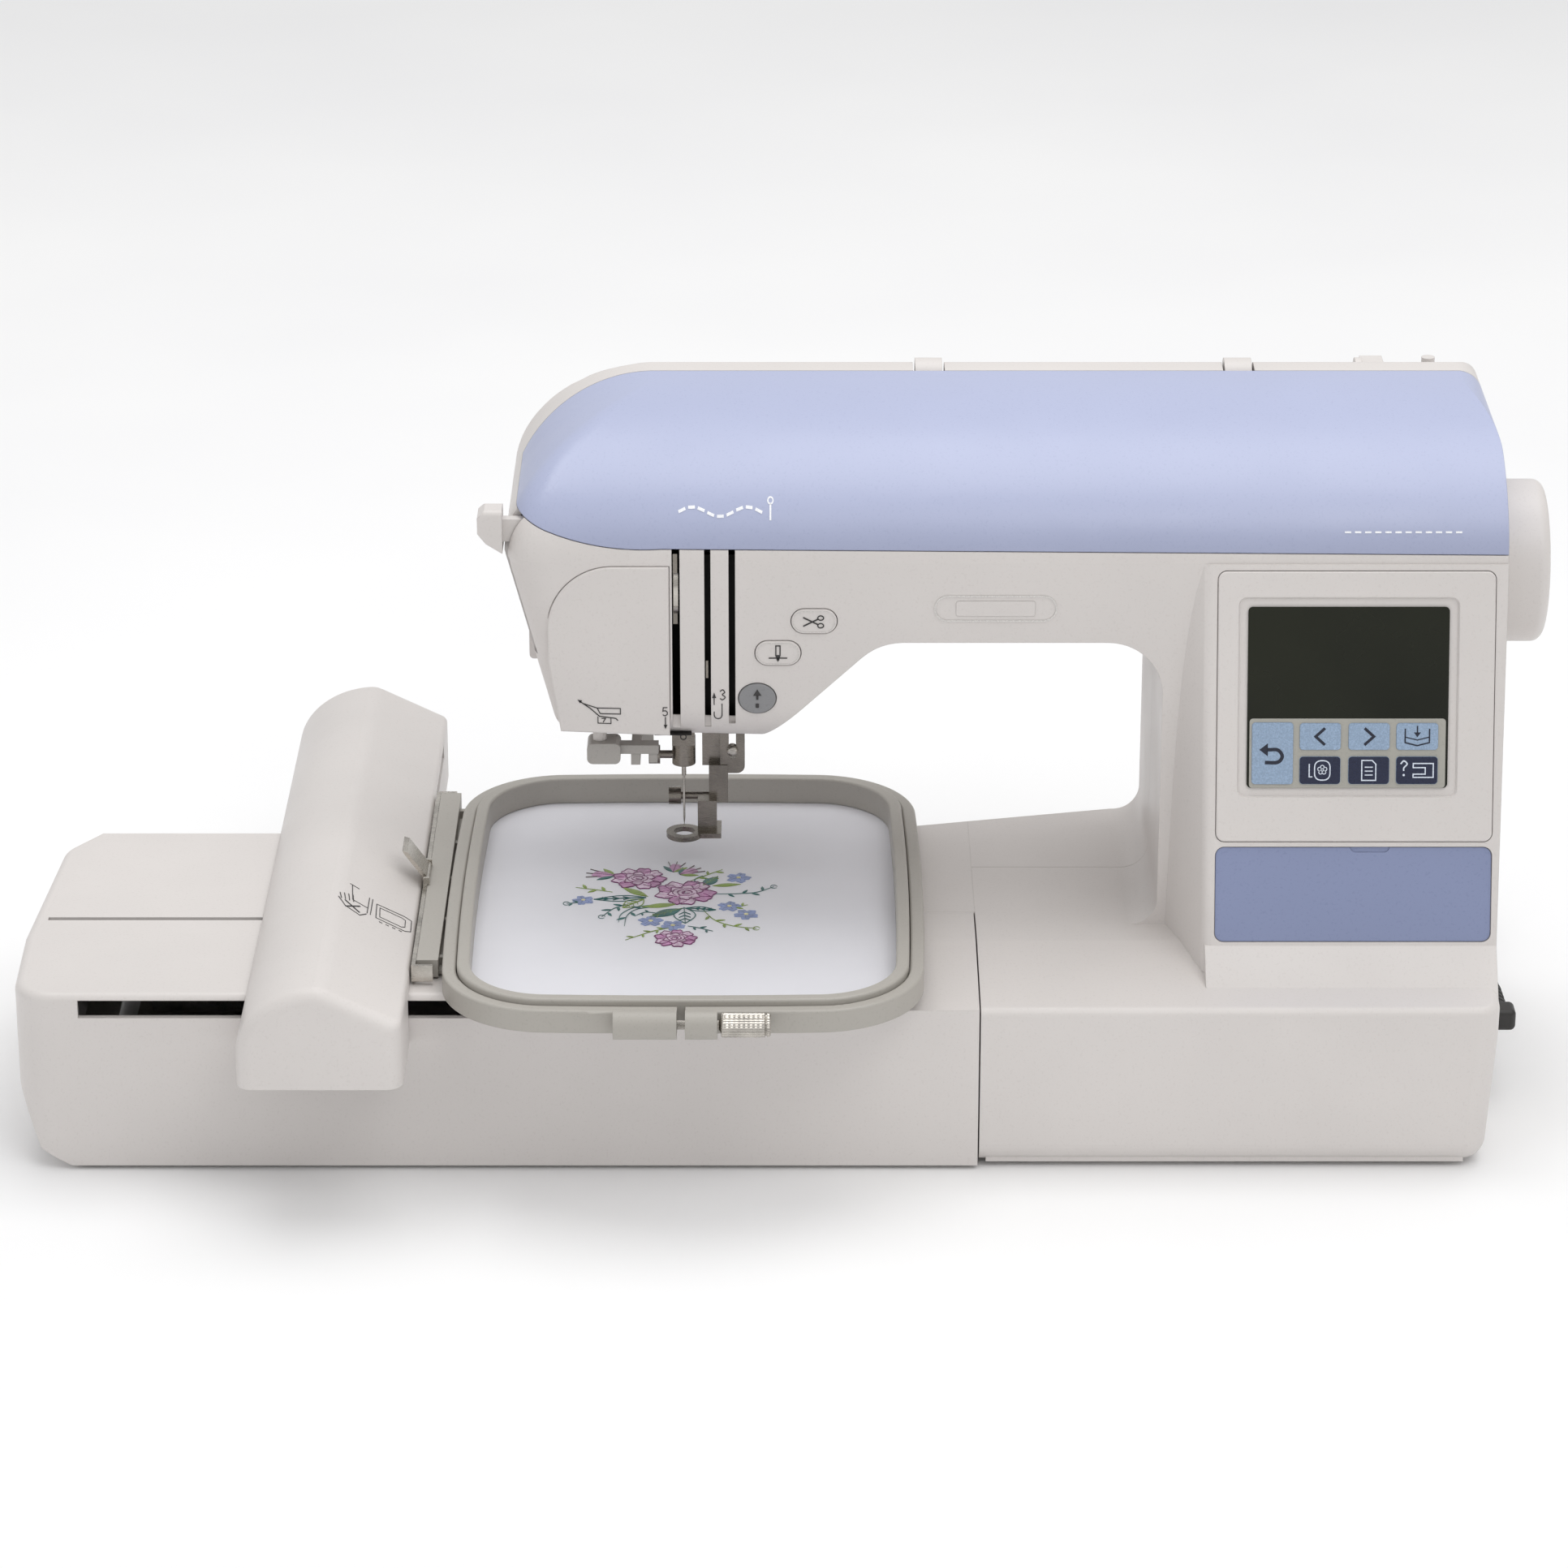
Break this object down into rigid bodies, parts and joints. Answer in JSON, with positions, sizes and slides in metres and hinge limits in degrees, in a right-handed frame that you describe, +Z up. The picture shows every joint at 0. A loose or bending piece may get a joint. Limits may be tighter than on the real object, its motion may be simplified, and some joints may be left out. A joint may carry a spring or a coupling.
{
  "type": "sewing machine",
  "caption": "Household sewing and embroidery machine with a free arm, a touch panel, an embroidery unit with a travelling carriage, and a hoop holding embroidered cloth.",
  "frame": {"origin": "on the table, under the middle of the machine with its embroidery unit and hoop", "axes": "+X from the needle to the hand wheel, +Y to the back, +Z up"},
  "size_m": [0.662, 0.372, 0.302],
  "materials": {
    "white_shell": "fine satin off-white moulded plastic",
    "blue_cover": "satin periwinkle moulded plastic",
    "blue_insert": "satin slate-blue plastic",
    "grey_hoop": "satin greige moulded plastic",
    "light_grey": "satin light grey plastic",
    "button_grey": "grey button plastic",
    "dark_plastic": "black plastic",
    "lcd": "dark olive liquid crystal panel",
    "key_film": "printed film keys, light blue and navy",
    "nickel": "nickel-plated steel",
    "steel": "ground steel",
    "aluminium": "cast aluminium",
    "brass": "sintered bronze bushes",
    "circuit": "green circuit board with parts",
    "belt_rubber": "toothed rubber belts",
    "foot_rubber": "grey-black rubber feet",
    "cord_rubber": "black flexible cord",
    "cloth": "white woven cotton with an embroidered flower spray",
    "clear_bobbin": "clear bobbin plastic"
  },
  "bodies": {
    "machine": {"front_shell": "white_shell", "rear_shell": "white_shell", "top_cover": "blue_cover", "base_plate": "white_shell", "free_arm_shell": "white_shell", "needle_plate": "steel", "bobbin_cover": "clear_bobbin", "face_cover": "white_shell", "thread_channel": "dark_plastic", "panel_bezel": "light_grey", "display_window": "lcd", "touch_keys": "key_film", "accent_insert": "blue_insert", "inner_frame": "aluminium", "shaft_bushes": "brass", "main_motor": "steel", "belts": "belt_rubber", "circuit_board": "circuit", "cord_inlet": "dark_plastic", "rubber_feet": "foot_rubber", "case_screws": "steel", "thread_cutter": "white_shell", "bobbin_case": "dark_plastic", "thread_stand": "white_shell", "power_cord": "cord_rubber", "cord_coil": "cord_rubber", "appliance_plug": "dark_plastic", "mains_plug": "dark_plastic"},
    "handwheel": {"handwheel": "white_shell", "upper_shaft": "steel"},
    "lower_shaft": {"lower_shaft": "steel"},
    "rotary_hook": {"rotary_hook": "steel"},
    "bobbin": {"bobbin": "clear_bobbin"},
    "motor_rotor": {"motor_pulley": "steel"},
    "needle_bar": {"needle_bar": "nickel", "needle": "nickel", "needle_clamp": "nickel"},
    "take_up_lever": {"take_up_lever": "nickel"},
    "presser_bar": {"presser_bar": "nickel", "embroidery_foot": "nickel"},
    "presser_lever": {"presser_lever": "light_grey"},
    "needle_threader": {"threader_lever": "white_shell", "threader_head": "light_grey"},
    "scissors_button": {"scissors_button": "white_shell"},
    "needle_button": {"needle_button": "white_shell"},
    "start_button": {"start_button": "button_grey"},
    "carry_handle": {"carry_handle": "white_shell"},
    "bobbin_winder": {"bobbin_winder": "white_shell"},
    "power_switch": {"power_switch": "dark_plastic"},
    "embroidery_unit": {"unit_case": "white_shell", "unit_base": "white_shell", "guide_rail": "steel"},
    "carriage": {"carriage_cover": "white_shell", "carriage_base": "aluminium"},
    "hoop_arm": {"hoop_holder": "nickel", "outer_hoop": "grey_hoop"},
    "frame_lever": {"frame_lever": "nickel"},
    "hoop_screw": {"hoop_screw": "nickel"},
    "inner_ring": {"inner_hoop": "grey_hoop", "fabric": "cloth"}
  },
  "joints": [
    {"name": "handwheel_turn", "type": "hinge", "parent": "machine", "child": "handwheel", "pos_m": [0.32, 0.004, 0.231], "axis": [1, 0, 0], "continuous": true},
    {"name": "lower_shaft_turn", "type": "hinge", "parent": "machine", "child": "lower_shaft", "pos_m": [0.1, 0.004, 0.045], "axis": [1, 0, 0], "continuous": true},
    {"name": "rotary_hook_turn", "type": "hinge", "parent": "machine", "child": "rotary_hook", "pos_m": [-0.0445, -0.015, 0.06], "axis": [0, 0, 1], "continuous": true},
    {"name": "motor_turn", "type": "hinge", "parent": "machine", "child": "motor_rotor", "pos_m": [0.23, -0.03, 0.045], "axis": [1, 0, 0], "continuous": true},
    {"name": "bobbin_turn", "type": "hinge", "parent": "machine", "child": "bobbin", "pos_m": [-0.0445, -0.015, 0.07], "axis": [0, 0, 1], "continuous": true},
    {"name": "needle_bar_travel", "type": "slide", "parent": "machine", "child": "needle_bar", "axis": [0, 0, 1], "range_m": [-0.031, 0], "deforming": ["fabric"]},
    {"name": "take_up_travel", "type": "slide", "parent": "machine", "child": "take_up_lever", "axis": [0, 0, 1], "range_m": [-0.0465, 0]},
    {"name": "presser_lever_lift", "type": "hinge", "parent": "machine", "child": "presser_lever", "pos_m": [-0.031, 0.062, 0.1975], "axis": [1, 0, 0], "range_deg": [-40, 0]},
    {"name": "presser_bar_travel", "type": "slide", "parent": "machine", "child": "presser_bar", "axis": [0, 0, 1], "range_m": [-0.015, 0]},
    {"name": "threader_travel", "type": "slide", "parent": "machine", "child": "needle_threader", "axis": [0, 0, 1], "range_m": [-0.04, 0]},
    {"name": "scissors_button_press", "type": "slide", "parent": "machine", "child": "scissors_button", "axis": [0, 1, 0], "range_m": [0, 0.0015], "stiffness_N_per_m": 300},
    {"name": "needle_button_press", "type": "slide", "parent": "machine", "child": "needle_button", "axis": [0, 1, 0], "range_m": [0, 0.0015], "stiffness_N_per_m": 300},
    {"name": "start_button_press", "type": "slide", "parent": "machine", "child": "start_button", "axis": [0, 1, 0], "range_m": [0, 0.0015], "stiffness_N_per_m": 300},
    {"name": "handle_swing", "type": "hinge", "parent": "machine", "child": "carry_handle", "pos_m": [0.1325, 0.069, 0.2915], "axis": [1, 0, 0], "range_deg": [0, 160]},
    {"name": "bobbin_winder_turn", "type": "hinge", "parent": "machine", "child": "bobbin_winder", "pos_m": [0.288, 0.09, 0.28], "axis": [0, 0, 1], "continuous": true},
    {"name": "power_switch_rock", "type": "hinge", "parent": "machine", "child": "power_switch", "pos_m": [0.299, 0.018, 0.03], "axis": [0, 1, 0], "range_deg": [-8, 8]},
    {"name": "unit_removal", "type": "slide", "parent": "machine", "child": "embroidery_unit", "axis": [1, 0, 0], "range_m": [-0.215, 0]},
    {"name": "carriage_travel", "type": "slide", "parent": "embroidery_unit", "child": "carriage", "axis": [1, 0, 0], "range_m": [-0.065, 0.04]},
    {"name": "hoop_travel", "type": "slide", "parent": "carriage", "child": "hoop_arm", "axis": [0, 1, 0], "range_m": [-0.046, 0.134]},
    {"name": "frame_lever_turn", "type": "hinge", "parent": "hoop_arm", "child": "frame_lever", "pos_m": [-0.1578, -0.02, 0.0927], "axis": [0, 1, 0], "range_deg": [0, 60]},
    {"name": "hoop_screw_turn", "type": "hinge", "parent": "hoop_arm", "child": "hoop_screw", "pos_m": [-0.04, -0.1739, 0.0897], "axis": [1, 0, 0], "continuous": true},
    {"name": "inner_ring_lift", "type": "slide", "parent": "hoop_arm", "child": "inner_ring", "axis": [0, 0, 1], "range_m": [0, 0.012]}
  ],
  "couplings": [
    {"joint": "lower_shaft_turn", "follows": "handwheel_turn", "ratio": 1},
    {"joint": "rotary_hook_turn", "follows": "handwheel_turn", "ratio": 2},
    {"joint": "motor_turn", "follows": "handwheel_turn", "ratio": 3.75},
    {"joint": "take_up_travel", "follows": "needle_bar_travel", "ratio": 1.5},
    {"joint": "presser_lever_lift", "follows": "presser_bar_travel", "rad_per_m": 46.54}
  ]
}
